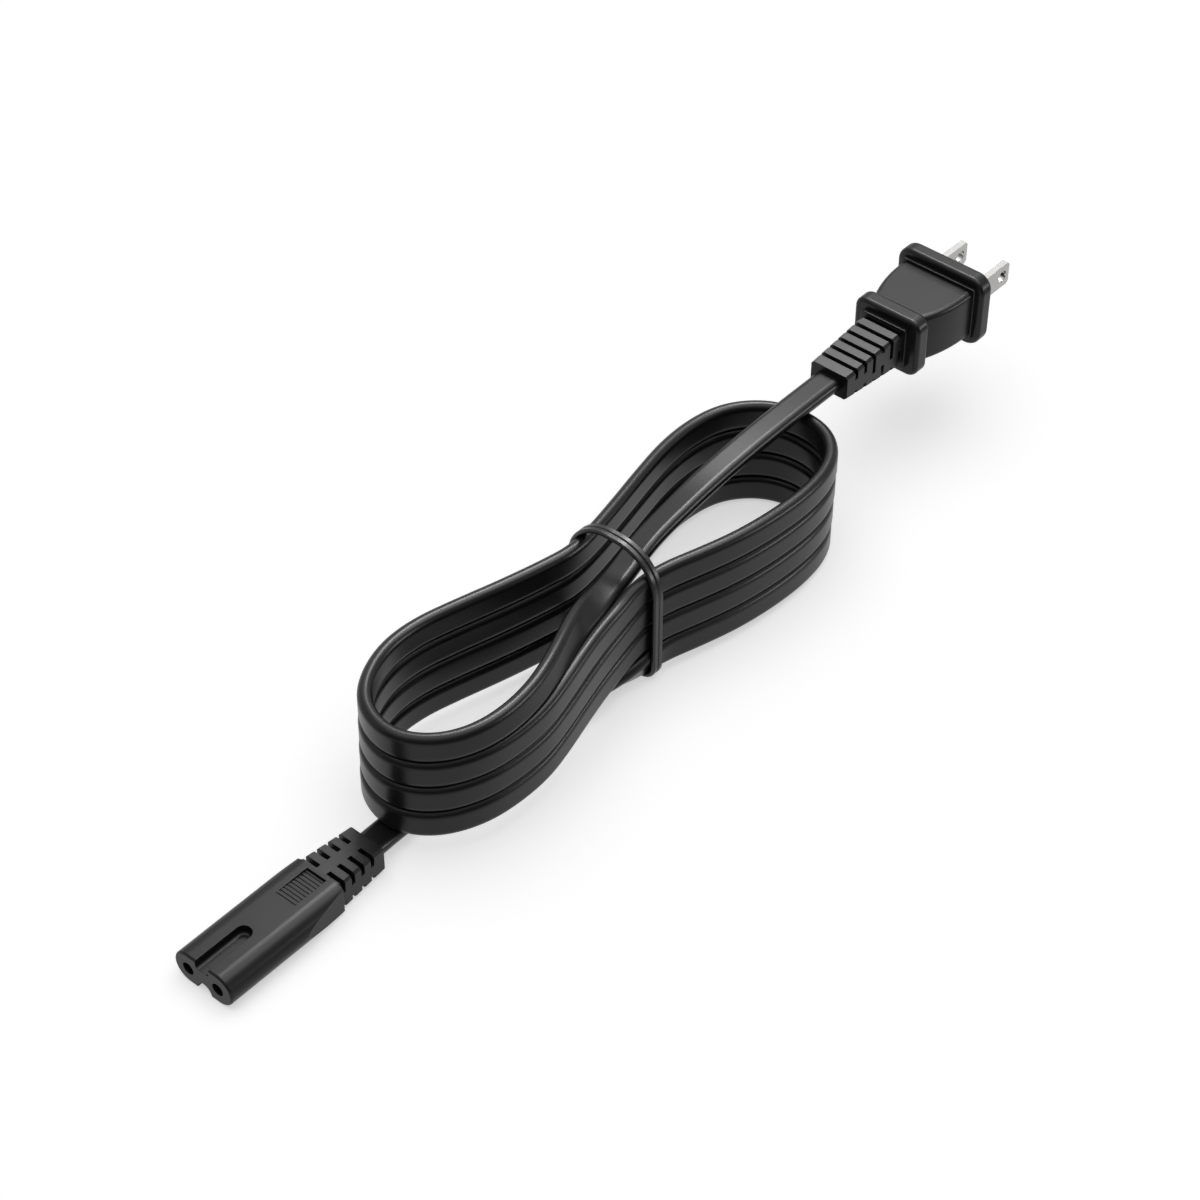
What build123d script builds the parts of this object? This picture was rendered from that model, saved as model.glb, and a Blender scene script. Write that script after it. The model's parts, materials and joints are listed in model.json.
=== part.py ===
from build123d import *
import math
import os

# A flat two-core power cord, wound into a flat hank and held by a loop at its waist.
# Millimetres. +X runs from the connector to the plug, +Y to the far side, +Z up from the floor.

# The cord as it lies
OVERALL_LENGTH = 274.0       # connector's front face to the blades' tips
CONNECTOR_Y = -1.8           # connector's axis, from the middle of the hank
PLUG_Y = 2.0

# Flat cord: two cores side by side in one jacket
CORD_WIDTH = 7.0
CORD_THICKNESS = 3.4
CORE_SPACING = 3.6
CONDUCTOR_RADIUS = 0.6

# Two-pole appliance connector
NOSE_WIDTH = 16.7
NOSE_HEIGHT = 8.2
NOSE_EDGE = 0.5
CONTACT_SPACING = 8.6
ENTRY_RADIUS = 1.55
ENTRY_DEPTH = 4.0
KEY_WIDTH = 3.9
KEY_DEPTH = 2.1
KEY_LENGTH = 13.7
KEY_CORNER = 0.9
GROOVE_WIDTH = 4.3
GROOVE_HEIGHT = 2.5
CONNECTOR_BODY_LENGTH = 34.0
FACET_START = 22.0           # where the side begins to be cut flat
SHOULDER_HALF_WIDTH = 6.7    # half width between the facets at the back of the body
GRIP_START = 23.8
GRIP_LENGTH = 9.2
GRIP_HALF_WIDTH = 2.8
GRIP_DEPTH = 0.8             # at the back end of the ramp
GRIP_RIDGES = 9
GRIP_RIDGE_WIDTH = 0.55
GRIP_RIDGE_HEIGHT = 0.2
CONNECTOR_RELIEF_LENGTH = 13.8
CONNECTOR_RELIEF_START = (11.8, 7.9)
CONNECTOR_RELIEF_END = (10.0, 6.8)
CONNECTOR_RELIEF_CORE = (8.3, 4.1)
CONNECTOR_RELIEF_CORNER = 0.6
CONNECTOR_SLOTS = 4
CONNECTOR_SLOT_PITCH = 3.06
CONNECTOR_SLOT_OFFSET = 0.95  # first slot's middle behind the body
CONNECTOR_SPINE = 1.4        # half width of the spines that the slots leave above and below
SIDE_SPINE_TOP = 0.9         # the ones at the sides, from the connector's axis
SIDE_SPINE_BOTTOM = -1.9

# Slots of both strain reliefs, cut down to a core round the cord
SLOT_WIDTH = 1.1
CORE_CORNER = 0.4

# Connector's inside
CARRIER_RADIUS = 2.6
CARRIER_WEB = 1.8
CARRIER_LENGTH = 13.0
SLEEVE_RADIUS = 1.8
SLEEVE_BORE = 1.2
SLEEVE_END = 1.0
CRIMP_RADIUS = 1.2
CRIMP_LENGTH = 5.0
CONNECTOR_CORD_GRIP = 13.8   # length of cord held inside the connector

# Two-blade plug
BLADE_SPACING = 12.7
BLADE_WIDTH = 6.35
BLADE_THICKNESS = 1.5
BLADE_LENGTH = 16.0
BLADE_HOLE_RADIUS = 1.55
BLADE_HOLE_SETBACK = 3.1     # hole's middle from the tip
BLADE_TIP = 1.1              # chamfer at the tip's corners
FRONT_FLANGE = (25.5, 19.6)
FRONT_FLANGE_LENGTH = 4.4
FRONT_FLANGE_CORNER = 4.0
GRIP_BLOCK_LENGTH = 16.8
GRIP_BLOCK_HALF_HEIGHT = 6.7
GRIP_BLOCK_FRONT = 10.4      # half widths
GRIP_BLOCK_MIDDLE = 9.9
GRIP_BLOCK_REAR = 7.3
GRIP_BLOCK_EDGE = 1.3
REAR_FLANGE = (19.2, 16.3)
REAR_FLANGE_LENGTH = 4.6
REAR_FLANGE_CORNER = 3.0
FLANGE_EDGE = 1.1
PLUG_RELIEF_LENGTH = 22.0
PLUG_RELIEF_START = (11.9, 10.2)
PLUG_RELIEF_END = (10.8, 6.7)
PLUG_RELIEF_CORE_START = (9.6, 7.0)
PLUG_RELIEF_CORE_END = (8.5, 4.2)
PLUG_RELIEF_CORNER = 0.7
PLUG_SLOT_PITCH = 3.33
PLUG_SLOT_OFFSET = 3.5       # middle of the slot next to the cord, from the end
# How far each slot wraps down the sides, and its partner up from below, as parts of the height,
# from the cord end on
TOP_WRAP_SHARES = (0.36, 0.38, 0.62, 0.15, 0.56, 0.15)
BOTTOM_WRAP_SHARES = (0.2, 0.24, 0.16, 0.45, 0.16, 0.5)

# Plug's inside
BRIDGE = (8.0, 17.0, 9.6)
BRIDGE_SETBACK = 3.0         # bridge's front behind the plug's face
BLADE_CRIMP_RADIUS = 1.5
BLADE_CRIMP_LENGTH = 5.0
PLUG_CORD_GRIP = 18.0

# Hank: one flat dog-bone turn, stacked on edge, tilted because one end lies on the connector's lead
HANK_LEVELS = 4
LEVEL_PITCH = 7.2
LEVEL_GROOVE = 0.9
HANK_HALF_WIDTH = 17.3
HANK_END_FLAT = 0.1          # half the straight run at each end
HANK_TILT = 1.95
WAIST_NEAR_Y = -7.0
WAIST_FAR_Y = 7.0
CONNECTOR_LEAD_RUN = 8.7     # from the connector's end to the middle of the cord at the hank's left end
PLUG_LEAD_RUN = 12.0         # from the middle of the cord at the hank's right end to the plug's end
LEAD_CLEARANCE = 0.4         # plug's lead above the hank's right end
# Places along the hank, as shares of its length from the left end
NEAR_LEFT_SHARE = 0.272
NEAR_WAIST_SHARE = 0.476
NEAR_RIGHT_SHARE = 0.681
FAR_RIGHT_SHARE = 0.808
FAR_WAIST_SHARE = 0.49
FAR_LEFT_SHARE = 0.173
PEEL_START_SHARE = 0.286     # on the near side the top level is open between these
PEEL_END_SHARE = 0.547

# Loop round the waist: a ribbon of two lobes side by side
TIE_SHARE = 0.521            # place along the hank
TIE_LOBE_WIDTH = 1.6
TIE_THICKNESS = 1.1
TIE_CORNER = 0.35
TIE_SPACING = 1.5
TIE_NEAR_SLACK = 0.9         # between the loop and the straight runs of the hank's walls
TIE_FAR_SLACK = 2.1
TIE_HEADROOM = 4.25
TIE_TOP_RADIUS = 11.0
TIE_FOOT_RADIUS = 4.0

CONNECTOR_FRONT_X = -OVERALL_LENGTH / 2
PLUG_FACE_X = OVERALL_LENGTH / 2 - BLADE_LENGTH
CONNECTOR_END = CONNECTOR_BODY_LENGTH + CONNECTOR_RELIEF_LENGTH
REAR_FLANGE_START = FRONT_FLANGE_LENGTH + GRIP_BLOCK_LENGTH
PLUG_RELIEF_FRONT = REAR_FLANGE_START + REAR_FLANGE_LENGTH
PLUG_END = PLUG_RELIEF_FRONT + PLUG_RELIEF_LENGTH
CONNECTOR_EXIT = CONNECTOR_FRONT_X + CONNECTOR_END
PLUG_EXIT = PLUG_FACE_X - PLUG_END
HANK_LEFT = CONNECTOR_EXIT + CONNECTOR_LEAD_RUN
HANK_RIGHT = PLUG_EXIT - PLUG_LEAD_RUN
HANK_END_RADIUS = HANK_HALF_WIDTH - HANK_END_FLAT
STACK_HEIGHT = HANK_LEVELS * LEVEL_PITCH
HANK_LIFT = (HANK_RIGHT + CORD_THICKNESS / 2 - LEVEL_GROOVE) * math.sin(math.radians(HANK_TILT))


def across(x):
    """Plane square to the X axis at x, its own x along Y and its own y along Z."""
    return Plane(origin=(x, 0, 0), x_dir=(0, 1, 0), z_dir=(1, 0, 0))


def block(x_low, x_high, y_low, y_high, z_low, z_high):
    middle = Pos((x_low + x_high) / 2, (y_low + y_high) / 2, (z_low + z_high) / 2)
    return middle * Box(x_high - x_low, y_high - y_low, z_high - z_low)


def rounded_bar(x_low, x_high, size, corner):
    return extrude(across(x_low) * RectangleRounded(size[0], size[1], corner), x_high - x_low)


def round_ends(flange):
    """Flange with the edges of both its faces rounded."""
    ends = flange.edges().group_by(Axis.X)
    return fillet(ends[0] + ends[-1], FLANGE_EDGE)


def round_bar(x_low, x_high, y, radius):
    return extrude(across(x_low) * Pos(y, 0) * Circle(radius), x_high - x_low)


def cut_corners(size, corner):
    """Rectangle with its corners cut off at 45 degrees."""
    rectangle = Rectangle(*size)
    return chamfer(rectangle.vertices(), corner)


def tapered_bar(x_start, x_end, start, end, corner):
    ends = [across(x_start) * cut_corners(start, corner), across(x_end) * cut_corners(end, corner)]
    return loft(ends, ruled=True)


def bend_radius(before, corner, after, share):
    """Radius of a bend that begins at a share of the shorter run next to its corner."""
    run_in = Vector(*corner) - Vector(*before)
    run_out = Vector(*after) - Vector(*corner)
    half_turn = math.radians(run_in.get_angle(run_out)) / 2
    return share * min(run_in.length, run_out.length) / math.tan(half_turn)


def bent_path(points):
    radii = [bend_radius(*three, 0.45) for three in zip(points, points[1:], points[2:])]
    return FilletPolyline(*points, radius=radii), radii


def flat_tube(points, name):
    """Flat cord, broad side up, along straight runs joined by tangent arcs."""
    path, radii = bent_path(points)
    side = Vector(0, 0, 1).cross(path % 0).normalized()
    start = Plane(origin=path @ 0, x_dir=side, z_dir=path % 0)
    section = cut_corners((CORD_WIDTH, CORD_THICKNESS), 0.3 * CORD_THICKNESS)
    tube = sweep(start * section, path=path)
    print(name, "radii", [round(r, 1) for r in radii], "volume", round(tube.volume, 1),
          "section x length", round(section.area * path.length, 1))
    return tube


def conductor(points):
    path = bent_path(points)[0]
    return sweep(Plane(origin=path @ 0, z_dir=path % 0) * RegularPolygon(CONDUCTOR_RADIUS, 8), path=path)


def along_hank(share):
    return HANK_LEFT + share * (HANK_RIGHT - HANK_LEFT)


def on_line(x, first, second):
    """Second coordinate, at x, of the line through two points."""
    return first[1] + (second[1] - first[1]) * (x - first[0]) / (second[0] - first[0])


def level_height(x, level):
    """Height above the floor at x of the given level of the tilted hank, in levels from its underside."""
    tilt = math.radians(HANK_TILT)
    return HANK_LIFT - x * math.sin(tilt) + level * LEVEL_PITCH * math.cos(tilt)


# Connector, with its front face at x 0 and the cord leaving along +X
nose = extrude(across(0) * SlotOverall(NOSE_WIDTH, NOSE_HEIGHT), CONNECTOR_BODY_LENGTH)
nose = fillet(nose.edges().group_by(Axis.X)[0], NOSE_EDGE)

key_plan = Pos((KEY_LENGTH - KEY_WIDTH / 2 - 3) / 2, 0) * Rectangle(KEY_LENGTH - KEY_WIDTH / 2 + 3, KEY_WIDTH)
key_plan += Pos(KEY_LENGTH - KEY_WIDTH / 2, 0) * Circle(KEY_WIDTH / 2)
key_slot = extrude(Pos(0, 0, NOSE_HEIGHT / 2 - KEY_DEPTH) * key_plan, KEY_DEPTH + 1)
key_slot = fillet(key_slot.edges().group_by(Axis.Z)[0], KEY_CORNER)

groove_top = -NOSE_HEIGHT / 2 + GROOVE_HEIGHT
groove = round_bar(-1, KEY_LENGTH, 0, GROOVE_WIDTH / 2)
groove = Pos(0, 0, groove_top - GROOVE_WIDTH / 2) * groove
groove += block(-1, KEY_LENGTH, -GROOVE_WIDTH / 2, GROOVE_WIDTH / 2, -NOSE_HEIGHT,
                groove_top - GROOVE_WIDTH / 2)

connector_body = nose - key_slot - groove
facet_cut = NOSE_WIDTH / 2 - SHOULDER_HALF_WIDTH
facet_angle = math.degrees(math.atan2(facet_cut, CONNECTOR_BODY_LENGTH - FACET_START))
for side in (1, -1):
    facet = block(-FACET_START / 2, CONNECTOR_BODY_LENGTH, 0, NOSE_WIDTH, -NOSE_HEIGHT, NOSE_HEIGHT)
    facet_place = Pos(FACET_START, side * NOSE_WIDTH / 2, 0) * Rot(0, 0, -side * facet_angle)
    connector_body -= facet_place * Pos(0, (side - 1) * NOSE_WIDTH / 2, 0) * facet

# Grip panel: a ramp that sinks towards the cord, crossed by fine ridges that begin level with the body
grip_top = NOSE_HEIGHT / 2
grip_end = GRIP_START + GRIP_LENGTH
ramp_start = grip_top - GRIP_RIDGE_HEIGHT
ramp_end = grip_top - GRIP_DEPTH
ramp_outline = Polyline((GRIP_START, ramp_start), (GRIP_START, grip_top + 1), (grip_end, grip_top + 1),
                        (grip_end, ramp_end), close=True)
ramp = Plane.XZ * make_face(ramp_outline)
connector_body -= extrude(ramp, GRIP_HALF_WIDTH, both=True)
for number in range(GRIP_RIDGES):
    ridge_x = GRIP_START + GRIP_LENGTH * (number + 0.6) / GRIP_RIDGES
    floor = on_line(ridge_x, (GRIP_START, ramp_start), (grip_end, ramp_end))
    connector_body += block(ridge_x - GRIP_RIDGE_WIDTH / 2, ridge_x + GRIP_RIDGE_WIDTH / 2, -GRIP_HALF_WIDTH,
                            GRIP_HALF_WIDTH, floor - 0.3, floor + GRIP_RIDGE_HEIGHT)

# Strain relief: each slot wraps one corner, between a spine above or below and one at the side
relief = tapered_bar(CONNECTOR_BODY_LENGTH, CONNECTOR_END, CONNECTOR_RELIEF_START, CONNECTOR_RELIEF_END,
                     CONNECTOR_RELIEF_CORNER)
relief_core = extrude(across(CONNECTOR_BODY_LENGTH - 1) * cut_corners(CONNECTOR_RELIEF_CORE, CORE_CORNER),
                      CONNECTOR_RELIEF_LENGTH + 2)
for number in range(CONNECTOR_SLOTS):
    middle = CONNECTOR_BODY_LENGTH + CONNECTOR_SLOT_OFFSET + number * CONNECTOR_SLOT_PITCH
    for y_side in (1, -1):
        for z_ends in ((SIDE_SPINE_TOP, NOSE_HEIGHT), (-NOSE_HEIGHT, SIDE_SPINE_BOTTOM)):
            y_ends = sorted((y_side * CONNECTOR_SPINE, y_side * NOSE_WIDTH))
            slot = block(middle - SLOT_WIDTH / 2, middle + SLOT_WIDTH / 2, *y_ends, *z_ends)
            relief -= slot - relief_core
connector_body += relief

# Connector's inside: carrier, spring sleeves, conductors and the end of the cord
carrier_end = ENTRY_DEPTH + CARRIER_LENGTH
sleeve_end = carrier_end + SLEEVE_END
crimp_end = sleeve_end + CRIMP_LENGTH
contact_y = CONTACT_SPACING / 2
core_y = CORE_SPACING / 2
cord_start = CONNECTOR_END - CONNECTOR_CORD_GRIP
carrier = round_bar(ENTRY_DEPTH, carrier_end, contact_y, CARRIER_RADIUS)
carrier += round_bar(ENTRY_DEPTH, carrier_end, -contact_y, CARRIER_RADIUS)
carrier += block(ENTRY_DEPTH, carrier_end, -contact_y, contact_y, -CARRIER_WEB / 2, CARRIER_WEB / 2)
cord_section = SlotOverall(CORD_WIDTH, CORD_THICKNESS)
cord_end_in_connector = extrude(across(cord_start) * cord_section, CONNECTOR_CORD_GRIP)
connector_body -= carrier
connector_body -= cord_end_in_connector
contacts = {}
connector_conductors = {}
for name, side in (("line", -1), ("neutral", 1)):
    connector_body -= round_bar(-1, ENTRY_DEPTH, side * contact_y, ENTRY_RADIUS)
    sleeve = round_bar(ENTRY_DEPTH, sleeve_end, side * contact_y, SLEEVE_RADIUS)
    barrel = round_bar(sleeve_end, crimp_end, side * contact_y, CRIMP_RADIUS)
    carrier -= sleeve
    connector_body -= sleeve
    connector_body -= barrel
    strand = conductor([(sleeve_end + 1, side * contact_y, 0), (crimp_end + 2.5, side * contact_y, 0),
                        (cord_start - 2.5, side * core_y, 0), (cord_start, side * core_y, 0)])
    connector_body -= strand
    sleeve -= round_bar(ENTRY_DEPTH, carrier_end, side * contact_y, SLEEVE_BORE)
    contacts[name] = sleeve + barrel - strand
    connector_conductors[name] = strand

# Plug, with its face at x 0 and the blades along +X
front_flange = rounded_bar(-FRONT_FLANGE_LENGTH, 0, FRONT_FLANGE, FRONT_FLANGE_CORNER)
front_flange = round_ends(front_flange)

grip_middle = -(FRONT_FLANGE_LENGTH + REAR_FLANGE_START) / 2
grip_plan = Curve() + [
    Line((-REAR_FLANGE_START, -GRIP_BLOCK_REAR), (-REAR_FLANGE_START, GRIP_BLOCK_REAR)),
    ThreePointArc((-REAR_FLANGE_START, GRIP_BLOCK_REAR), (grip_middle, GRIP_BLOCK_MIDDLE),
                  (-FRONT_FLANGE_LENGTH, GRIP_BLOCK_FRONT)),
    Line((-FRONT_FLANGE_LENGTH, GRIP_BLOCK_FRONT), (-FRONT_FLANGE_LENGTH, -GRIP_BLOCK_FRONT)),
    ThreePointArc((-FRONT_FLANGE_LENGTH, -GRIP_BLOCK_FRONT), (grip_middle, -GRIP_BLOCK_MIDDLE),
                  (-REAR_FLANGE_START, -GRIP_BLOCK_REAR)),
]
grip_block = extrude(make_face(grip_plan), GRIP_BLOCK_HALF_HEIGHT, both=True)
grip_block = fillet(grip_block.edges().filter_by(GeomType.CIRCLE), GRIP_BLOCK_EDGE)

rear_flange = rounded_bar(-PLUG_RELIEF_FRONT, -REAR_FLANGE_START, REAR_FLANGE, REAR_FLANGE_CORNER)
rear_flange = round_ends(rear_flange)

# Strain relief: slots across the top and the bottom that wrap down and up the sides by turns
relief = tapered_bar(-PLUG_END, -PLUG_RELIEF_FRONT, PLUG_RELIEF_END, PLUG_RELIEF_START, PLUG_RELIEF_CORNER)
relief_core = tapered_bar(-PLUG_END, -PLUG_RELIEF_FRONT, PLUG_RELIEF_CORE_END, PLUG_RELIEF_CORE_START,
                          CORE_CORNER)
for number, (top_wrap, bottom_wrap) in enumerate(zip(TOP_WRAP_SHARES, BOTTOM_WRAP_SHARES)):
    from_end = PLUG_SLOT_OFFSET + number * PLUG_SLOT_PITCH
    part = from_end / PLUG_RELIEF_LENGTH
    height = PLUG_RELIEF_END[1] + (PLUG_RELIEF_START[1] - PLUG_RELIEF_END[1]) * part
    low = -PLUG_END + from_end - SLOT_WIDTH / 2
    high = -PLUG_END + from_end + SLOT_WIDTH / 2
    reach = PLUG_RELIEF_START[0]
    relief -= block(low, high, -reach, reach, height * (0.5 - top_wrap), reach) - relief_core
    relief -= block(low, high, -reach, reach, -reach, -height * (0.5 - bottom_wrap)) - relief_core

plug_body = front_flange + grip_block + rear_flange + relief

# Plug's inside: bridge, blades with crimps, conductors and the end of the cord
bridge_back = -BRIDGE_SETBACK - BRIDGE[0]
blade_crimp_end = bridge_back - 1 - BLADE_CRIMP_LENGTH
plug_cord_start = -PLUG_END + PLUG_CORD_GRIP
bridge = block(bridge_back, -BRIDGE_SETBACK, -BRIDGE[1] / 2, BRIDGE[1] / 2, -BRIDGE[2] / 2, BRIDGE[2] / 2)
cord_end_in_plug = extrude(across(-PLUG_END) * cord_section, PLUG_CORD_GRIP)
plug_body -= bridge
plug_body -= cord_end_in_plug
blades = {}
plug_conductors = {}
for name, side in (("line", -1), ("neutral", 1)):
    blade_y = side * BLADE_SPACING / 2
    blade = block(bridge_back - 1, BLADE_LENGTH, blade_y - BLADE_THICKNESS / 2, blade_y + BLADE_THICKNESS / 2,
                  -BLADE_WIDTH / 2, BLADE_WIDTH / 2)
    blade = chamfer(blade.edges().group_by(Axis.X)[-1].filter_by(Axis.Y), BLADE_TIP)
    blade = chamfer(blade.edges().group_by(Axis.X)[-1].filter_by(Axis.Z), BLADE_THICKNESS / 4)
    barrel = round_bar(blade_crimp_end, bridge_back - 1, blade_y, BLADE_CRIMP_RADIUS)
    hole = Rot(90, 0, 0) * Cylinder(BLADE_HOLE_RADIUS, 4 * BLADE_THICKNESS)
    hole = Pos(BLADE_LENGTH - BLADE_HOLE_SETBACK, blade_y, 0) * hole
    strand = conductor([(bridge_back - 2, blade_y, 0), (blade_crimp_end - 2.5, blade_y, 0),
                        (plug_cord_start + 2.5, side * core_y, 0), (plug_cord_start, side * core_y, 0)])
    bridge -= blade
    plug_body -= blade
    plug_body -= barrel
    plug_body -= strand
    blades[name] = blade + barrel - strand - hole
    plug_conductors[name] = strand

# Hank: the whole stack along one closed dog-bone path, lowered at the right end until it meets the floor
near_left = (along_hank(NEAR_LEFT_SHARE), -HANK_HALF_WIDTH)
near_waist = (along_hank(NEAR_WAIST_SHARE), WAIST_NEAR_Y)
near_right = (along_hank(NEAR_RIGHT_SHARE), -HANK_HALF_WIDTH)
far_right = (along_hank(FAR_RIGHT_SHARE), HANK_HALF_WIDTH)
far_waist = (along_hank(FAR_WAIST_SHARE), WAIST_FAR_Y)
far_left = (along_hank(FAR_LEFT_SHARE), HANK_HALF_WIDTH)
end_starts = {side: (HANK_LEFT + HANK_END_RADIUS, side * HANK_HALF_WIDTH) for side in (1, -1)}
end_stops = {side: (HANK_RIGHT - HANK_END_RADIUS, side * HANK_HALF_WIDTH) for side in (1, -1)}
turn = [(HANK_LEFT, -HANK_HALF_WIDTH), near_left, near_waist, near_right, (HANK_RIGHT, -HANK_HALF_WIDTH),
        (HANK_RIGHT, HANK_HALF_WIDTH), far_right, far_waist, far_left, (HANK_LEFT, HANK_HALF_WIDTH)]
turn_radii = [
    HANK_END_RADIUS,
    bend_radius(end_starts[-1], near_left, near_waist, 0.8),
    bend_radius(near_left, near_waist, near_right, 0.35),
    bend_radius(near_waist, near_right, end_stops[-1], 0.61),
    HANK_END_RADIUS,
    HANK_END_RADIUS,
    bend_radius(end_stops[1], far_right, far_waist, 0.82),
    bend_radius(far_right, far_waist, far_left, 0.25),
    bend_radius(far_waist, far_left, end_starts[1], 0.9),
    HANK_END_RADIUS,
]
turn_path = FilletPolyline(*turn, radius=turn_radii, close=True)
half = CORD_THICKNESS / 2
profile = []
for level in range(HANK_LEVELS):
    low = level * LEVEL_PITCH
    high = low + LEVEL_PITCH
    profile += [(half - LEVEL_GROOVE, low), (half, low + LEVEL_GROOVE), (half, high - LEVEL_GROOVE)]
profile.append((half - LEVEL_GROOVE, STACK_HEIGHT))
profile += [(-across_half, height) for across_half, height in reversed(profile)]
hank_start = Plane(origin=turn_path @ 0, x_dir=Vector(0, 0, 1).cross(turn_path % 0), z_dir=turn_path % 0)
hank = sweep(hank_start * make_face(Polyline(*profile, close=True)), path=turn_path)
peel_x = along_hank(PEEL_START_SHARE)
hank -= block(peel_x, along_hank(PEEL_END_SHARE), -2 * HANK_HALF_WIDTH, 0, STACK_HEIGHT - LEVEL_PITCH,
              2 * STACK_HEIGHT)
hank_place = Pos(0, 0, HANK_LIFT) * Rot(0, HANK_TILT, 0)
cord_hank = hank_place * hank
print("one turn", round(turn_path.length, 1), "radii", [round(r, 1) for r in turn_radii])


def near_wall(x):
    """Middle of the near wall's straight run from the left loop to the waist."""
    return on_line(x, near_left, near_waist)


# Connector's lead: under the hank's left end, over the floor and into the wall of the near side
connector_place = Pos(CONNECTOR_FRONT_X, CONNECTOR_Y, NOSE_HEIGHT / 2)
lead_end = along_hank(0.382)
connector_lead = flat_tube([
    (CONNECTOR_EXIT - 1.3, CONNECTOR_Y - 0.1, NOSE_HEIGHT / 2 + 0.16),
    (HANK_LEFT + 2.5, CONNECTOR_Y / 2, 0.75 * CORD_THICKNESS),
    (along_hank(0.1), CONNECTOR_Y / 6, 0.59 * CORD_THICKNESS),
    (along_hank(0.2), CONNECTOR_Y / 2, 0.74 * CORD_THICKNESS),
    (along_hank(0.284), 0.43 * WAIST_NEAR_Y, 1.24 * CORD_THICKNESS),
    (lead_end, near_wall(lead_end) + 0.45 * CORD_THICKNESS, level_height(lead_end, 0.46)),
], "connector lead")
connector_lead -= block(CONNECTOR_FRONT_X, CONNECTOR_EXIT, -HANK_HALF_WIDTH, HANK_HALF_WIDTH, -1, NOSE_HEIGHT)
wall_angle = math.degrees(math.atan2(near_waist[1] - near_left[1], near_waist[0] - near_left[0]))
wall_side = block(HANK_LEFT, HANK_RIGHT, -HANK_HALF_WIDTH, 0, -STACK_HEIGHT, STACK_HEIGHT)
connector_lead -= hank_place * Pos(near_waist[0], near_waist[1], 0) * Rot(0, 0, wall_angle) * wall_side
connector_lead -= cord_hank

# Plug's lead: from the end of the top turn, through the waist and over the hank's right end
plug_z = level_height(HANK_RIGHT, HANK_LEVELS) + CORD_THICKNESS / 2 + LEAD_CLEARANCE
plug_place = Pos(PLUG_FACE_X, PLUG_Y, plug_z)
top_level = HANK_LEVELS - 0.5
before_peel = along_hank(0.256)
after_peel = along_hank(0.368)
in_waist = along_hank(FAR_WAIST_SHARE)
plug_lead = flat_tube([
    (before_peel, near_wall(before_peel) + 0.9 * CORD_THICKNESS, level_height(before_peel, top_level)),
    (after_peel, near_wall(after_peel) + 1.3 * CORD_THICKNESS, level_height(after_peel, top_level)),
    (in_waist, 0.27 * WAIST_NEAR_Y, level_height(in_waist, top_level) + LEAD_CLEARANCE),
    (along_hank(0.648), -PLUG_Y / 4, plug_z - 0.6 * CORD_THICKNESS),
    (along_hank(0.816), PLUG_Y / 3, plug_z - 0.24 * CORD_THICKNESS),
    (HANK_RIGHT - 4.2, 0.75 * PLUG_Y, plug_z),
    (PLUG_EXIT + 1.5, PLUG_Y, plug_z + 0.02),
], "plug lead")
plug_lead -= block(PLUG_EXIT, PLUG_FACE_X, -HANK_HALF_WIDTH, HANK_HALF_WIDTH, 0, 2 * plug_z)
plug_lead -= hank_place * block(HANK_LEFT, peel_x, -2 * HANK_HALF_WIDTH, HANK_HALF_WIDTH, 0, 2 * STACK_HEIGHT)

# Loop round the waist, standing on the floor
tie_x = along_hank(TIE_SHARE)
half_tie = TIE_THICKNESS / 2
tie_near = on_line(tie_x, near_waist, near_right) - half - half_tie - TIE_NEAR_SLACK
tie_far = on_line(tie_x, far_waist, far_right) + half + half_tie + TIE_FAR_SLACK
tie_top = level_height(tie_x, HANK_LEVELS) + TIE_HEADROOM + half_tie
tie_path = FilletPolyline((tie_x, tie_near, half_tie), (tie_x, tie_near, tie_top), (tie_x, tie_far, tie_top),
                          (tie_x, tie_far, half_tie), close=True,
                          radius=[TIE_FOOT_RADIUS, TIE_TOP_RADIUS, TIE_TOP_RADIUS, TIE_FOOT_RADIUS])
lobe = cut_corners((TIE_LOBE_WIDTH, TIE_THICKNESS), TIE_CORNER)
lobes = Pos(TIE_SPACING / 2, 0) * lobe + Pos(-TIE_SPACING / 2, 0) * lobe
tie_band = sweep(Plane(origin=tie_path @ 0, x_dir=(1, 0, 0), z_dir=tie_path % 0) * lobes, path=tie_path)

os.makedirs("parts", exist_ok=True)
nodes = {
    "plug_body": plug_place * plug_body,
    "plug_bridge": plug_place * bridge,
    "plug_blade_line": plug_place * blades["line"],
    "plug_blade_neutral": plug_place * blades["neutral"],
    "plug_conductor_line": plug_place * plug_conductors["line"],
    "plug_conductor_neutral": plug_place * plug_conductors["neutral"],
    "cord_end_in_plug": plug_place * cord_end_in_plug,
    "connector_body": connector_place * connector_body,
    "connector_contact_carrier": connector_place * carrier,
    "connector_contact_line": connector_place * contacts["line"],
    "connector_contact_neutral": connector_place * contacts["neutral"],
    "connector_conductor_line": connector_place * connector_conductors["line"],
    "connector_conductor_neutral": connector_place * connector_conductors["neutral"],
    "cord_end_in_connector": connector_place * cord_end_in_connector,
    "cord_hank": cord_hank,
    "cord_plug_lead": plug_lead,
    "cord_connector_lead": connector_lead,
    "tie_band": tie_band,
}
for name, solid in nodes.items():
    box = solid.bounding_box()
    print(name, "solids", len(solid.solids()), "volume", round(solid.volume, 1), "from",
          [round(v, 2) for v in (box.min.X, box.min.Y, box.min.Z)], "to",
          [round(v, 2) for v in (box.max.X, box.max.Y, box.max.Z)])
    export_step(solid, os.path.join("parts", name + ".step"))
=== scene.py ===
import json
import math

import bmesh
import bpy
from mathutils import Matrix, Vector


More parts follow.
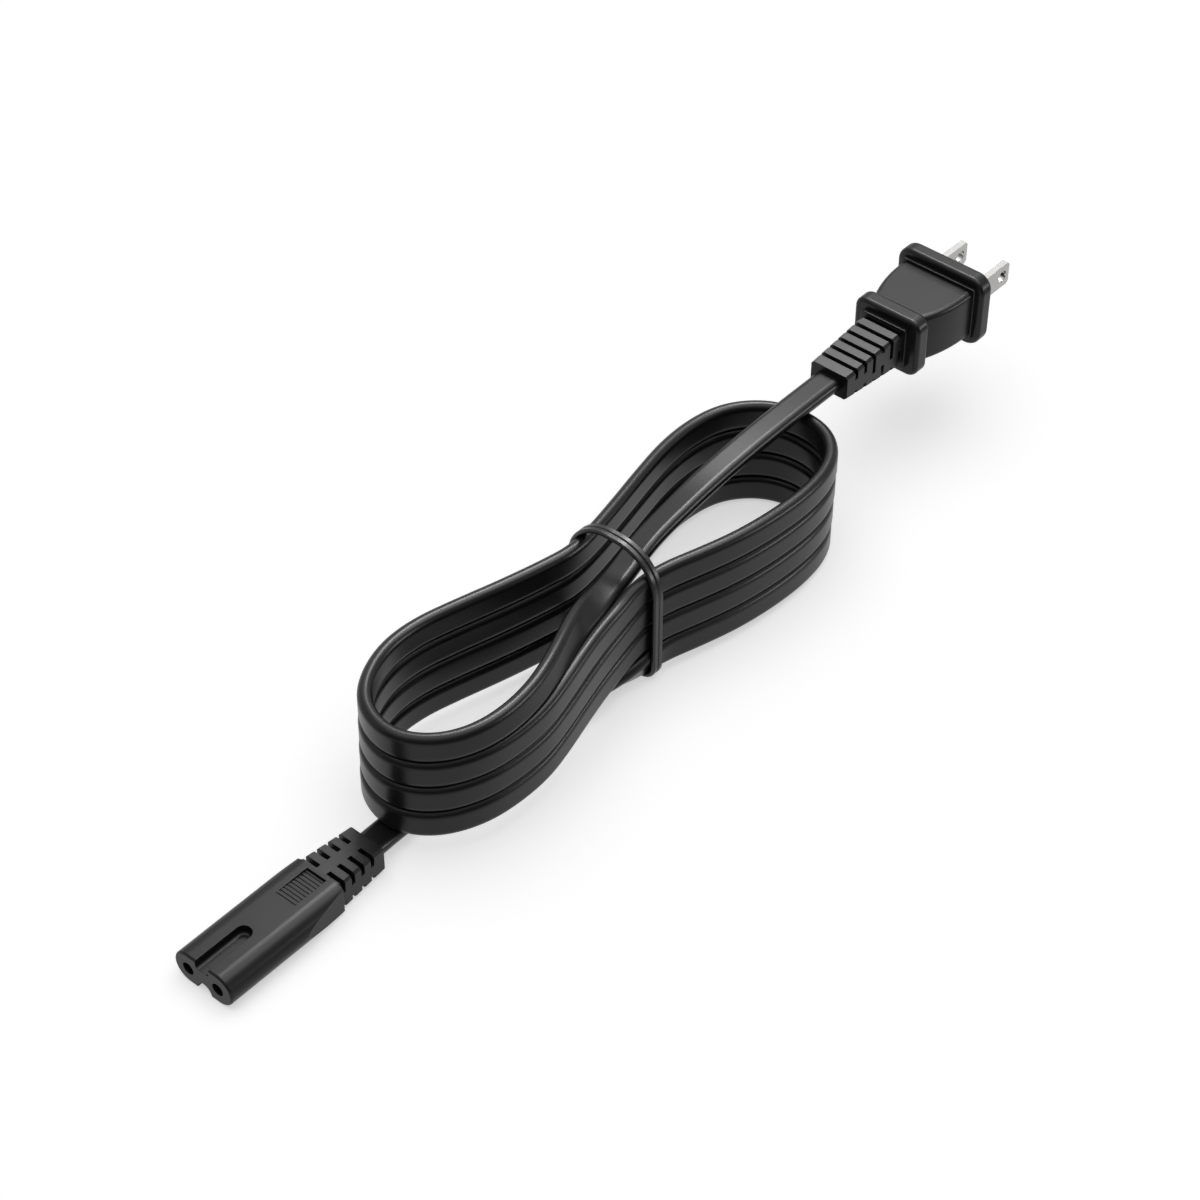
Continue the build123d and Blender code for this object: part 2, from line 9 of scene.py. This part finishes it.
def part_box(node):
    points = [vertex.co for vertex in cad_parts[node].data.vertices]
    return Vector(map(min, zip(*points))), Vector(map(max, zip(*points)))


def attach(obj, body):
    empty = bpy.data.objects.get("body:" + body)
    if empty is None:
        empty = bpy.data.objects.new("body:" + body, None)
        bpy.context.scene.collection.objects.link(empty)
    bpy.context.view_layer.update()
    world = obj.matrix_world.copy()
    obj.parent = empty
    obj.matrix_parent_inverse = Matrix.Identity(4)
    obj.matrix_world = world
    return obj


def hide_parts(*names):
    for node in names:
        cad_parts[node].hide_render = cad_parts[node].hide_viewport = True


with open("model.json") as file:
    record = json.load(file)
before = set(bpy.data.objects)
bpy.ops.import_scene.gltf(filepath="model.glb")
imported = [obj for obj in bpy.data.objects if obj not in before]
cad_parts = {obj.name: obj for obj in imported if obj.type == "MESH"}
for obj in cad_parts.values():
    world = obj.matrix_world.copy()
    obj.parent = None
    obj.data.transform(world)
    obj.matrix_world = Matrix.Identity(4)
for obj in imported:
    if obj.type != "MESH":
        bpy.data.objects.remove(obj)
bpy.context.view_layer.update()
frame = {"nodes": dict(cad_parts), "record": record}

# Cord: a flat two-core flex in one black PVC jacket, extruded in one pass round both cores.
# It leaves the connector flat, stands on edge in the four turns of the hank, and turns over to lie flat
# again on its way through the waist to the plug.
MM = 0.001
CORD_WIDTH = 7.25 * MM
CORD_THICKNESS = 3.4 * MM
CORD_SIDES = 24
FLAT_SHARE = 0.9             # share of the run between the round edges that is kept quite flat
FLAT = 0.0                   # degrees that the cord has turned about its own run
ON_EDGE = 90.0
TURNED_OVER = 180.0

# Connector's lead, in millimetres: x, y and z of the middle of the cord, and how far it has turned
CONNECTOR_LEAD = [
    (-90.0, -1.8, 4.2, FLAT), (-84.0, -1.2, 3.6, FLAT), (-77.0, -0.6, 2.7, FLAT), (-66.0, -0.2, 2.0, FLAT),
    (-53.0, -0.8, 2.4, 6.0), (-41.0, -2.3, 3.0, 12.0), (-30.0, -4.2, 3.5, 20.0), (-20.0, -6.8, 3.6, 36.0),
    (-11.5, -9.2, 4.1, 60.0),
]
# One turn of the hank in plan, from the near side of the waist round the right and the left loop
TURN = [
    (-3.0, -10.6), (7.0, -13.5), (17.0, -15.9), (28.0, -17.2), (39.0, -17.4), (48.5, -15.9), (55.4, -12.4),
    (60.0, -6.8), (61.3, 0.6), (59.5, 7.8), (55.1, 13.2), (48.8, 16.8), (40.0, 18.0), (30.0, 17.3),
    (19.0, 14.9), (8.0, 12.2), (-3.0, 9.7), (-12.0, 8.3), (-21.0, 9.7), (-32.0, 12.0), (-43.0, 14.8),
    (-53.0, 17.0), (-62.0, 17.0), (-70.0, 14.6), (-76.6, 10.5), (-80.6, 5.0), (-82.0, -2.0), (-79.6, -8.0),
    (-74.6, -12.6), (-67.0, -15.7), (-58.5, -16.6), (-49.5, -16.5), (-41.0, -14.8), (-32.5, -12.6),
    (-24.5, -10.7), (-17.0, -9.4), (-10.0, -9.0),
]
TURNS = 4
LEVEL_PITCH = 7.25
HANK_TILT = math.radians(1.95)
HANK_LIFT = 2.11
# Point of the turn, and the share of a level that the cord has climbed there. The third turn climbs sooner,
# because nothing lies on it there.
CLIMB = {31: 0.06, 32: 0.18, 33: 0.30, 34: 0.40, 35: 0.52, 36: 0.82}
CLIMB_SOONER = {31: 0.12, 32: 0.30, 33: 0.43, 34: 0.47, 35: 0.52, 36: 0.82}
PEEL = 29                    # point of the fourth turn where the cord leaves the stack
# Plug's lead, from there through the waist
PLUG_LEAD = [
    (-67.0, -15.4, 30.0, 92.0), (-59.0, -16.2, 29.9, 97.0), (-50.8, -15.3, 29.8, 99.0),
    (-43.6, -13.4, 29.9, 102.0), (-36.1, -10.6, 29.6, 107.0), (-28.3, -7.5, 28.8, 124.0),
    (-20.5, -5.2, 27.7, 158.0), (-14.0, -3.5, 26.8, 180.0), (-8.0, -2.2, 26.6, 189.0),
    (-2.5, -1.0, 27.0, 191.0), (3.0, -0.1, 27.8, 191.0), (9.0, 0.6, 28.2, 191.0), (17.0, 1.2, 28.7, 189.0),
    (28.0, 1.8, 29.6, 181.0), (42.0, 1.9, 30.6, TURNED_OVER), (56.0, 1.9, 30.95, TURNED_OVER),
    (66.0, 2.0, 30.9, TURNED_OVER), (75.1, 2.0, 30.9, TURNED_OVER),
]

hank_place = Matrix.Translation((0, 0, HANK_LIFT)) @ Matrix.Rotation(HANK_TILT, 4, "Y")
route = [Vector(point[:3]) for point in CONNECTOR_LEAD]
lean = [point[3] for point in CONNECTOR_LEAD]
for level in range(TURNS):
    climbs = CLIMB_SOONER if level == TURNS - 2 else CLIMB
    last = PEEL if level == TURNS - 1 else len(TURN)
    for number, (x, y) in enumerate(TURN[:last]):
        height = LEVEL_PITCH * (level + 0.5 + climbs.get(number, 0.0))
        route.append(hank_place @ Vector((x, y, height)))
        lean.append(ON_EDGE)
route += [Vector(point[:3]) for point in PLUG_LEAD]
lean += [point[3] for point in PLUG_LEAD]


def along_spline(points):
    """Points read along the smooth curve that has the given ones as its control points."""
    line = bpy.data.curves.new("line", "CURVE")
    line.dimensions = "3D"
    line.resolution_u = 6
    spline = line.splines.new("NURBS")
    spline.points.add(len(points) - 1)
    for control, point in zip(spline.points, points):
        control.co = (*point, 1.0)
    spline.order_u = 3
    spline.use_endpoint_u = True
    holder = bpy.data.objects.new("line", line)
    bpy.context.scene.collection.objects.link(holder)
    mesh = bpy.data.meshes.new_from_object(holder)
    read = [vertex.co.copy() for vertex in mesh.vertices]
    bpy.data.objects.remove(holder)
    bpy.data.curves.remove(line)
    bpy.data.meshes.remove(mesh)
    return read


cord_path = along_spline([point * MM for point in route])
cord_lean = [point.x for point in along_spline([(angle, 0.0, 0.0) for angle in lean])]


def cord_place(number):
    """How the cord's section stands at one point of its path: its broad side, its thin side and its run."""
    before = cord_path[max(number - 1, 0)]
    after = cord_path[min(number + 1, len(cord_path) - 1)]
    run = (after - before).normalized()
    level_side = run.cross(Vector((0, 0, 1))).normalized()
    upright = level_side.cross(run)
    angle = math.radians(cord_lean[number])
    broad = level_side * math.cos(angle) + upright * math.sin(angle)
    thin = run.cross(broad)
    place = Matrix((broad, thin, run)).transposed().to_4x4()
    place.translation = cord_path[number]
    return place


cord_form = bmesh.new()
along_layer = cord_form.verts.layers.float.new("along")
around_layer = cord_form.verts.layers.float.new("around")
half_run = (CORD_WIDTH - CORD_THICKNESS) / 2
circle = bmesh.ops.create_circle(cord_form, segments=CORD_SIDES, radius=CORD_THICKNESS / 2,
                                 matrix=Matrix.Rotation(math.pi / CORD_SIDES, 4, "Z"))
for number, vertex in enumerate(circle["verts"]):
    vertex.co.x += math.copysign(half_run, vertex.co.x)
    vertex[around_layer] = number / CORD_SIDES
broad_sides = [edge for edge in cord_form.edges if edge.calc_length() > CORD_THICKNESS / 2]
split = bmesh.ops.subdivide_edges(cord_form, edges=broad_sides, cuts=2)["geom_inner"]
for vertex in split:
    if isinstance(vertex, bmesh.types.BMVert):
        vertex.co.x = math.copysign(half_run * FLAT_SHARE, vertex.co.x)
first_rim = list(cord_form.edges)
rim = first_rim
place = cord_place(0)
bmesh.ops.transform(cord_form, matrix=place, verts=cord_form.verts)
travelled = 0.0
for number in range(1, len(cord_path)):
    grown = bmesh.ops.extrude_edge_only(cord_form, edges=rim)["geom"]
    ring = {item for item in grown if isinstance(item, bmesh.types.BMVert)}
    rim = [item for item in grown if isinstance(item, bmesh.types.BMEdge) and set(item.verts) <= ring]
    next_place = cord_place(number)
    bmesh.ops.transform(cord_form, matrix=next_place @ place.inverted(), verts=list(ring))
    place = next_place
    travelled += (cord_path[number] - cord_path[number - 1]).length
    for vertex in ring:
        vertex[along_layer] = travelled
bmesh.ops.edgeloop_fill(cord_form, edges=first_rim)
bmesh.ops.edgeloop_fill(cord_form, edges=rim)
bmesh.ops.recalc_face_normals(cord_form, faces=cord_form.faces)
for face in cord_form.faces:
    face.smooth = len(face.verts) == 4


def piece_from(name, form, finish):
    """An object at the origin, in one finish, from a finished bmesh."""
    mesh = bpy.data.meshes.new(name)
    form.to_mesh(mesh)
    form.free()
    mesh.materials.append(finish)
    piece = bpy.data.objects.new(name, mesh)
    bpy.context.scene.collection.objects.link(piece)
    return piece


class Shade:
    """A socket of one material. Arithmetic on it adds Math nodes, and node() adds any other kind."""

    def __init__(self, tree, socket):
        self.tree = tree
        self.socket = socket

    def node(self, kind, settings, inputs, output=0):
        made = self.tree.nodes.new(kind)
        for name, setting in settings.items():
            setattr(made, name, setting)
        for name, given in inputs.items():
            if isinstance(given, Shade):
                given.feed(made, name)
            else:
                made.inputs[name].default_value = given
        return Shade(self.tree, made.outputs[output])

    def feed(self, target, name):
        self.tree.links.new(self.socket, target.inputs[name])

    def math(self, operation, first, second):
        return self.node("ShaderNodeMath", {"operation": operation}, {0: first, 1: second})

    def __add__(self, other):
        return self.math("ADD", self, other)

    def __radd__(self, other):
        return self.math("ADD", other, self)

    def __sub__(self, other):
        return self.math("SUBTRACT", self, other)

    def __rsub__(self, other):
        return self.math("SUBTRACT", other, self)

    def __mul__(self, other):
        return self.math("MULTIPLY", self, other)

    def __rmul__(self, other):
        return self.math("MULTIPLY", other, self)


def new_finish(name):
    """A material, its Principled shader, and the Object coordinates that its nodes start from."""
    finish = bpy.data.materials.new(name)
    finish.use_nodes = True
    shader = finish.node_tree.nodes["Principled BSDF"]
    where = Shade(finish.node_tree, None).node("ShaderNodeTexCoord", {}, {}, "Object")
    return finish, shader, where


def noise(where, size, detail=2.0):
    """Noise with features about as large as size, in the units of the place that it is given."""
    inputs = {"Vector": where, "Scale": 1.0 / size, "Detail": detail}
    return where.node("ShaderNodeTexNoise", {}, inputs, "Fac")


def blend_colours(share, first, second):
    return share.node("ShaderNodeMix", {"data_type": "RGBA"}, {0: share, 6: first, 7: second}, 2)


def bump(height, strength, depth, **more):
    inputs = {"Height": height, "Strength": strength, "Distance": depth, **more}
    return height.node("ShaderNodeBump", {}, inputs)


BLACK_PVC = ((0.007, 0.007, 0.0075, 1), (0.012, 0.012, 0.0125, 1))
STREAKS_ALONG = 30.0         # streaks that the extruder leaves, to a metre of cord
STREAKS_AROUND = 60.0        # and to its whole girth
cord_finish, shader, where = new_finish("cord_jacket_pvc")
along = where.node("ShaderNodeAttribute", {"attribute_name": "along"}, {}, "Fac")
around = where.node("ShaderNodeAttribute", {"attribute_name": "around"}, {}, "Fac")
drawn = where.node("ShaderNodeCombineXYZ", {}, {"X": along * STREAKS_ALONG, "Y": around * STREAKS_AROUND})
streaks = noise(drawn, 1.0)
grain = noise(where, 0.25 * MM)
handling = noise(where, 9.0 * MM, 3.0)
blend_colours(handling, *BLACK_PVC).feed(shader, "Base Color")
(0.24 + handling * 0.06 + streaks * 0.05).feed(shader, "Roughness")
bump(streaks * 0.6 + grain * 0.4, 0.05, 0.05 * MM).feed(shader, "Normal")
shader.inputs["Specular IOR Level"].default_value = 0.3

cord = piece_from("flat_cord", cord_form, cord_finish)
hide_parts("cord_hank", "cord_plug_lead", "cord_connector_lead")
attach(cord, "root")

# Plug: black PVC moulded round the blades and the end of the cord in one shot, so flanges, grip and
# slotted strain relief are one skin. Its edges are a little rounded, as the tool leaves them.
nodes = frame["nodes"]


def dress(node, finish):
    """Give a CAD node, whose shape stays as it is, a finish of its own."""
    nodes[node].data.materials.clear()
    nodes[node].data.materials.append(finish)


def rounded(where, radius):
    """Normals that turn softly over edges, as if these were rounded."""
    return where.node("ShaderNodeBevel", {"samples": 8}, {"Radius": radius})


def moulding_finish(name, edge, roughness, specular):
    finish, shader, where = new_finish(name)
    grain = noise(where, 0.3 * MM)
    handling = noise(where, 7.0 * MM, 3.0)
    blend_colours(handling, *BLACK_PVC).feed(shader, "Base Color")
    (handling * 0.08 + roughness).feed(shader, "Roughness")
    bump(grain, 0.12, 0.03 * MM, Normal=rounded(where, edge)).feed(shader, "Normal")
    shader.inputs["Specular IOR Level"].default_value = specular
    return finish


plug_finish = moulding_finish("plug_pvc", 0.2 * MM, 0.26, 0.3)
dress("plug_body", plug_finish)

# Steps on the plug: a low step runs round the grip where it meets the front flange, and another round the
# strain relief where it meets the rear flange. Both are part of the same moulding.
STEP_CORNER = 0.9 * MM
STEP_EDGE = 0.2 * MM
STEP_SEAT = 0.3 * MM         # how deep a step is set into its flange
ROUNDING = {"affect": "EDGES", "profile": 0.5, "material": -1}
# Millimetres: how far the flange's rear face lies behind the plug's front, how far the step stands out
# from it, and the step's width and height
STEPS = {"front_step": (4.4, 0.9, 21.9, 15.1), "rear_step": (25.8, 1.25, 13.5, 11.5)}
plug_low, plug_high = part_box("plug_body")
plug_middle = (plug_low + plug_high) / 2
for name, (behind, rise, wide, high) in STEPS.items():
    form = bmesh.new()
    bmesh.ops.create_cube(form, size=1.0)
    bmesh.ops.scale(form, vec=(rise * MM + STEP_SEAT, wide * MM, high * MM), verts=form.verts)
    corners = [edge for edge in form.edges if abs(edge.verts[0].co.x - edge.verts[1].co.x) > STEP_SEAT]
    bmesh.ops.bevel(form, geom=corners, offset=STEP_CORNER, segments=4, **ROUNDING)
    rear = min(vertex.co.x for vertex in form.verts) + STEP_SEAT / 2
    rear_rim = [edge for edge in form.edges if all(vertex.co.x < rear for vertex in edge.verts)]
    bmesh.ops.bevel(form, geom=rear_rim, offset=STEP_EDGE, segments=2, **ROUNDING)
    middle_x = plug_high.x - behind * MM + (STEP_SEAT - rise * MM) / 2
    bmesh.ops.translate(form, vec=(middle_x, plug_middle.y, plug_middle.z), verts=form.verts)
    step = piece_from(name, form, plug_finish)
    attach(step, "root")

# Connector: the same black PVC, moulded round the contact carrier and the other end of the cord.
# Nose, grip panel and slotted strain relief are one skin, with a slightly duller face than the plug's.
dress("connector_body", moulding_finish("connector_pvc", 0.15 * MM, 0.28, 0.24))

# Blades: stamped brass strip with bright plating, pushed into the bridge before the plug is moulded.
# The stamping leaves fine lines along the strip.
PLATING = ((0.42, 0.415, 0.405, 1), (0.50, 0.495, 0.485, 1))
LINE_SCALE = (40.0, 2500.0, 2500.0)
blade_finish, shader, where = new_finish("bright_plating")
lines = noise(where.node("ShaderNodeMapping", {}, {"Vector": where, "Scale": LINE_SCALE}), 1.0, 3.0)
blend_colours(noise(where, 3.0 * MM), *PLATING).feed(shader, "Base Color")
(0.16 + lines * 0.1).feed(shader, "Roughness")
bump(lines, 0.05, 0.03 * MM, Normal=rounded(where, 0.15 * MM)).feed(shader, "Normal")
shader.inputs["Metallic"].default_value = 1.0
for name in ("plug_blade_line", "plug_blade_neutral"):
    dress(name, blade_finish)

# Loop round the waist: a black plastic band with two round lobes and a groove between them, extruded as a
# strip. It is closed round the finished hank and holds the turns and the plug's lead together.
TIE_BLACK = ((0.018, 0.018, 0.018, 1), (0.026, 0.026, 0.026, 1))
tie_finish, shader, where = new_finish("tie_plastic")
marks = noise(where, 2.0 * MM, 3.0)
blend_colours(marks, *TIE_BLACK).feed(shader, "Base Color")
(0.25 + marks * 0.1).feed(shader, "Roughness")
shader.inputs["Specular IOR Level"].default_value = 0.42
dress("tie_band", tie_finish)

# Inside: bridge and carrier in natural nylon, brass spring sleeves, stranded copper, and the cord's two ends.
# They are sealed in when plug and connector are moulded round them.
INNER = {
    "inner_plastic": ("inner_nylon", (0.70, 0.69, 0.64, 1), (0.78, 0.77, 0.72, 1), 0.0, 0.45),
    "contact_brass": ("sleeve_brass", (0.62, 0.50, 0.24, 1), (0.74, 0.62, 0.34, 1), 1.0, 0.3),
    "copper": ("bare_copper", (0.60, 0.30, 0.18, 1), (0.76, 0.42, 0.28, 1), 1.0, 0.32),
}
slots = {part["node"]: part["material_slot"] for part in frame["record"]["subparts"]}
for slot_name, (name, dark, light, metal, roughness) in INNER.items():
    finish, shader, where = new_finish(name)
    mottle = noise(where, 0.8 * MM, 3.0)
    blend_colours(mottle, dark, light).feed(shader, "Base Color")
    (mottle * 0.12 + roughness).feed(shader, "Roughness")
    shader.inputs["Metallic"].default_value = metal
    for node, slot in slots.items():
        if slot == slot_name:
            dress(node, finish)
for node in ("cord_end_in_plug", "cord_end_in_connector"):
    dress(node, plug_finish)

# Finished lead: the cord with the connector and the plug moulded on its ends, wound and tied.
# It leaves the connector on the connector's own axis. Here only the connector's extent is read, for the floor
# below.
connector_low, connector_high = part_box("connector_body")

# Stage: a white floor in a white room, and the floor keeps the shadow. The camera sees plain white.
# Reflections see a room and a floor that are dim in front of the part, as in front of a dark wall.
VIEW_TURN = math.radians(49.117)
DIM_SIDE = (-math.sin(VIEW_TURN), -math.cos(VIEW_TURN), 0.0)
FLOOR_HALF = 3.0
FLOOR_ALBEDO = 0.8
FLOOR_GLOW = 0.53
FLOOR_REFLECTED = 0.60
GLOW_RISES = (0.45, 1.2)     # metres from the part, where the floor fades into the white room
FLOOR_DIMS = (0.04, 0.12)    # metres in front of the part
FLOOR_DIMMED = 0.15
ROOM_LIGHT = 0.20
ROOM_FRONT = 0.08
ROOM_SIDES = 0.65
ROOM_HIGH = 0.60
FRONT_SPREAD = (0.15, 0.45)  # cosines between which the room goes from its sides to its front
HIGH_SPREAD = (0.4, 0.9)     # sines of the height between which it goes to overhead


def rays(start):
    """1 for what the camera sees itself, and 1 for what it sees in reflections or through clear bodies."""
    kinds = ("Is Camera Ray", "Is Glossy Ray", "Is Transmission Ray")
    camera, glossy, clear = [start.node("ShaderNodeLightPath", {}, {}, kind) for kind in kinds]
    return camera, glossy + clear


def ramp(along, begin, end, first, last):
    """A value that goes from first to last while another one goes from begin to end."""
    ends = {"From Min": begin, "From Max": end, "To Min": first, "To Max": last}
    return along.node("ShaderNodeMapRange", {}, {"Value": along, **ends})


floor_finish, shader, where = new_finish("floor_white")
camera_ray, mirrored = rays(where)
x, y = [where.node("ShaderNodeSeparateXYZ", {}, {"Vector": where}, name) for name in "XY"]
ahead = where.math("MAXIMUM", y * -1.0, (x - connector_low.x) * -1.0)
near = ramp(ahead, *FLOOR_DIMS, 1.0, FLOOR_DIMMED)
((1.0 - mirrored * (1.0 - near * 0.5)) * FLOOR_ALBEDO).feed(shader, "Base Color")
distance = where.node("ShaderNodeVectorMath", {"operation": "LENGTH"}, {0: where}, "Value")
far = ramp(distance, *GLOW_RISES, 0.0, 1.0)
glow = camera_ray * (FLOOR_GLOW + far * (1.0 - FLOOR_GLOW)) + mirrored * near * FLOOR_REFLECTED
glow.feed(shader, "Emission Color")
shader.inputs["Emission Strength"].default_value = 1.0
shader.inputs["Roughness"].default_value = 1.0
shader.inputs["Specular IOR Level"].default_value = 0.0
floor_form = bmesh.new()
bmesh.ops.create_grid(floor_form, x_segments=1, y_segments=1, size=FLOOR_HALF)
piece_from("floor", floor_form, floor_finish)

world = bpy.data.worlds.new("room")
bpy.context.scene.world = world
world.use_nodes = True
background = world.node_tree.nodes["Background"]
direction = Shade(world.node_tree, None).node("ShaderNodeTexCoord", {}, {}, "Generated")
camera_ray, mirrored = rays(direction)
height = direction.node("ShaderNodeSeparateXYZ", {}, {"Vector": direction}, "Z")
to_front = direction.node("ShaderNodeVectorMath", {"operation": "DOT_PRODUCT"},
                          {0: direction, 1: DIM_SIDE}, "Value")
low_level = ramp(to_front, *FRONT_SPREAD, ROOM_SIDES, ROOM_FRONT)
overhead = ramp(height, *HIGH_SPREAD, 0.0, 1.0)
reflected = low_level * (1.0 - overhead) + overhead * ROOM_HIGH
level = camera_ray + mirrored * reflected + (1.0 - camera_ray - mirrored) * ROOM_LIGHT
level.feed(background, "Color")
background.inputs["Strength"].default_value = 1.0

# Lamps: one wide soft box overhead lights the part and the floor. The others are seen in reflections only,
# and draw the bright lines along rims and edges.
# Degrees round and up from the floor, metres away, size in metres, watts, and whether it lights all surfaces
LAMPS = {
    "top_box": (41.0, 85.0, 1.3, (1.6, 1.6), 10.5, True),
    "back_box": (41.0, 40.0, 1.5, (1.6, 0.6), 2.4, False),
    "core_box": (33.0, 55.0, 1.2, (0.34, 0.34), 6.2, False),
    "wing_box": (-8.0, 61.0, 1.2, (1.1, 0.40), 5.6, False),
    "right_strip": (-52.0, 9.0, 1.2, (0.5, 0.20), 2.6, False),
}
for name, (turn, elevation, distance, (wide, high), watts, lights_all) in LAMPS.items():
    lamp = bpy.data.lights.new(name, "AREA")
    lamp.shape = "RECTANGLE"
    lamp.size = wide
    lamp.size_y = high
    lamp.energy = watts
    holder = bpy.data.objects.new(name, lamp)
    level_part = math.cos(math.radians(elevation))
    aside = math.radians(turn)
    upward = math.sin(math.radians(elevation))
    towards = Vector((math.cos(aside) * level_part, math.sin(aside) * level_part, upward))
    holder.location = towards * distance
    holder.rotation_euler = towards.to_track_quat("Z", "Y").to_euler()
    holder.visible_diffuse = lights_all
    bpy.context.scene.collection.objects.link(holder)

# Camera: a long lens that looks down on the hank from the connector's side, at the photograph's angle.
# It was placed by the standard spacings of contacts and blades.
CAMERA_PLACE = Vector((-384.17, -322.34, 472.15)) * MM
CAMERA_DROP = math.radians(42.516)
camera_data = bpy.data.cameras.new("camera")
camera_data.lens = 90.0
camera_data.sensor_width = 36.0
camera_data.clip_start = 0.01
camera = bpy.data.objects.new("camera", camera_data)
camera.location = CAMERA_PLACE
camera.rotation_euler = (math.pi / 2 - CAMERA_DROP, 0, -VIEW_TURN)
bpy.context.scene.collection.objects.link(camera)
bpy.context.scene.camera = camera
bpy.context.scene.view_settings.view_transform = "Standard"
